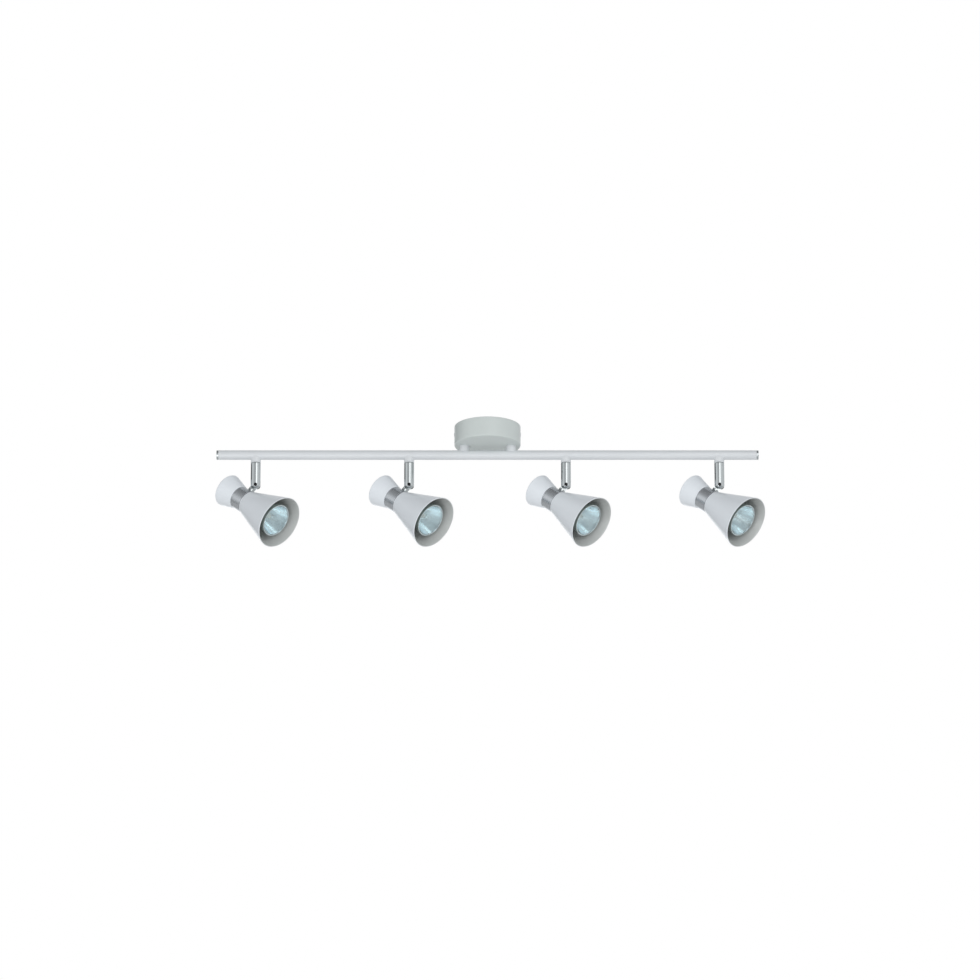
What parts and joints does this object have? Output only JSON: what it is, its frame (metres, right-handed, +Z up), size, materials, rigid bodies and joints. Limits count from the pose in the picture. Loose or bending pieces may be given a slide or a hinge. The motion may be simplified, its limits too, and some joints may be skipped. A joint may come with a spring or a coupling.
{
  "type": "ceiling spotlight bar",
  "caption": "Ceiling light bar: a round canopy and two posts carry a tube from which aimable hourglass spot heads hang on swivelling stems.",
  "frame": {"origin": "middle of the ceiling bracket's upper face, in the plane of the ceiling, on the canopy's centre line", "axes": "+Z up into the ceiling, X along the bar, -Y the side the pin screws are reached from"},
  "size_m": [0.8154, 0.1218, 0.1938],
  "materials": {
    "white_paint": "gloss white powder coat on steel",
    "shade_paint": "gloss white lacquer outside, grey-white inside",
    "chrome_trim": "polished chrome plate on steel",
    "brushed_band": "satin chrome plate on steel",
    "black_screw": "black oxide",
    "zinc_steel": "zinc plate",
    "brass_nut": "machined",
    "block_plastic": "moulded nylon",
    "holder_ceramic": "unglazed steatite",
    "lamp_reflector": "facetted glass with a mirror coat inside",
    "lamp_glass": "clear cover glass"
  },
  "bodies": {
    "bar": {"ceiling_bracket": "zinc_steel", "canopy_cover": "white_paint", "terminal_block": "block_plastic", "bar_tube": "white_paint", "cover_screw_left": "white_paint", "cover_screw_right": "white_paint", "post_left": "white_paint", "post_right": "white_paint", "post_nut_left": "brass_nut", "post_nut_right": "brass_nut", "end_cap_left": "chrome_trim", "end_cap_right": "chrome_trim", "boss_1": "white_paint", "boss_2": "white_paint", "boss_3": "white_paint", "boss_4": "white_paint"},
    "stem_body_1": {"stem_1": "chrome_trim", "stem_nut_1": "brass_nut", "pin_screw_1": "black_screw"},
    "tongue_body_1": {"tongue_1": "chrome_trim", "nipple_nut_1": "brass_nut"},
    "head_1": {"neck_band_1": "brushed_band", "rear_shade_1": "shade_paint", "front_shade_1": "shade_paint", "lamp_holder_1": "holder_ceramic", "lamp_1": "lamp_reflector", "lamp_lens_1": "lamp_glass"},
    "stem_body_2": {"stem_2": "chrome_trim", "stem_nut_2": "brass_nut", "pin_screw_2": "black_screw"},
    "tongue_body_2": {"tongue_2": "chrome_trim", "nipple_nut_2": "brass_nut"},
    "head_2": {"neck_band_2": "brushed_band", "rear_shade_2": "shade_paint", "front_shade_2": "shade_paint", "lamp_holder_2": "holder_ceramic", "lamp_2": "lamp_reflector", "lamp_lens_2": "lamp_glass"},
    "stem_body_3": {"stem_3": "chrome_trim", "stem_nut_3": "brass_nut", "pin_screw_3": "black_screw"},
    "tongue_body_3": {"tongue_3": "chrome_trim", "nipple_nut_3": "brass_nut"},
    "head_3": {"neck_band_3": "brushed_band", "rear_shade_3": "shade_paint", "front_shade_3": "shade_paint", "lamp_holder_3": "holder_ceramic", "lamp_3": "lamp_reflector", "lamp_lens_3": "lamp_glass"},
    "stem_body_4": {"stem_4": "chrome_trim", "stem_nut_4": "brass_nut", "pin_screw_4": "black_screw"},
    "tongue_body_4": {"tongue_4": "chrome_trim", "nipple_nut_4": "brass_nut"},
    "head_4": {"neck_band_4": "brushed_band", "rear_shade_4": "shade_paint", "front_shade_4": "shade_paint", "lamp_holder_4": "holder_ceramic", "lamp_4": "lamp_reflector", "lamp_lens_4": "lamp_glass"}
  },
  "joints": [
    {"name": "swivel_1", "type": "hinge", "parent": "bar", "child": "stem_body_1", "pos_m": [-0.3445, 0, -0.0921], "axis": [0, 0, 1], "range_deg": [-175, 175]},
    {"name": "tilt_1", "type": "hinge", "parent": "stem_body_1", "child": "tongue_body_1", "pos_m": [-0.3445, 0, -0.0921], "axis": [0, 1, 0], "range_deg": [-55, 35]},
    {"name": "turn_1", "type": "hinge", "parent": "tongue_body_1", "child": "head_1", "pos_m": [-0.3445, 0, -0.0921], "axis": [0.6481, 0, 0.7615], "range_deg": [-90, 90]},
    {"name": "swivel_2", "type": "hinge", "parent": "bar", "child": "stem_body_2", "pos_m": [-0.1165, 0, -0.0921], "axis": [0, 0, 1], "range_deg": [-175, 175]},
    {"name": "tilt_2", "type": "hinge", "parent": "stem_body_2", "child": "tongue_body_2", "pos_m": [-0.1165, 0, -0.0921], "axis": [0, 1, 0], "range_deg": [-55, 35]},
    {"name": "turn_2", "type": "hinge", "parent": "tongue_body_2", "child": "head_2", "pos_m": [-0.1165, 0, -0.0921], "axis": [0.6481, 0, 0.7615], "range_deg": [-90, 90]},
    {"name": "swivel_3", "type": "hinge", "parent": "bar", "child": "stem_body_3", "pos_m": [0.1165, 0, -0.0921], "axis": [0, 0, 1], "range_deg": [-175, 175]},
    {"name": "tilt_3", "type": "hinge", "parent": "stem_body_3", "child": "tongue_body_3", "pos_m": [0.1165, 0, -0.0921], "axis": [0, 1, 0], "range_deg": [-55, 35]},
    {"name": "turn_3", "type": "hinge", "parent": "tongue_body_3", "child": "head_3", "pos_m": [0.1165, 0, -0.0921], "axis": [0.6481, 0, 0.7615], "range_deg": [-90, 90]},
    {"name": "swivel_4", "type": "hinge", "parent": "bar", "child": "stem_body_4", "pos_m": [0.3445, 0, -0.0921], "axis": [0, 0, 1], "range_deg": [-175, 175]},
    {"name": "tilt_4", "type": "hinge", "parent": "stem_body_4", "child": "tongue_body_4", "pos_m": [0.3445, 0, -0.0921], "axis": [0, 1, 0], "range_deg": [-55, 35]},
    {"name": "turn_4", "type": "hinge", "parent": "tongue_body_4", "child": "head_4", "pos_m": [0.3445, 0, -0.0921], "axis": [0.6481, 0, 0.7615], "range_deg": [-90, 90]}
  ]
}
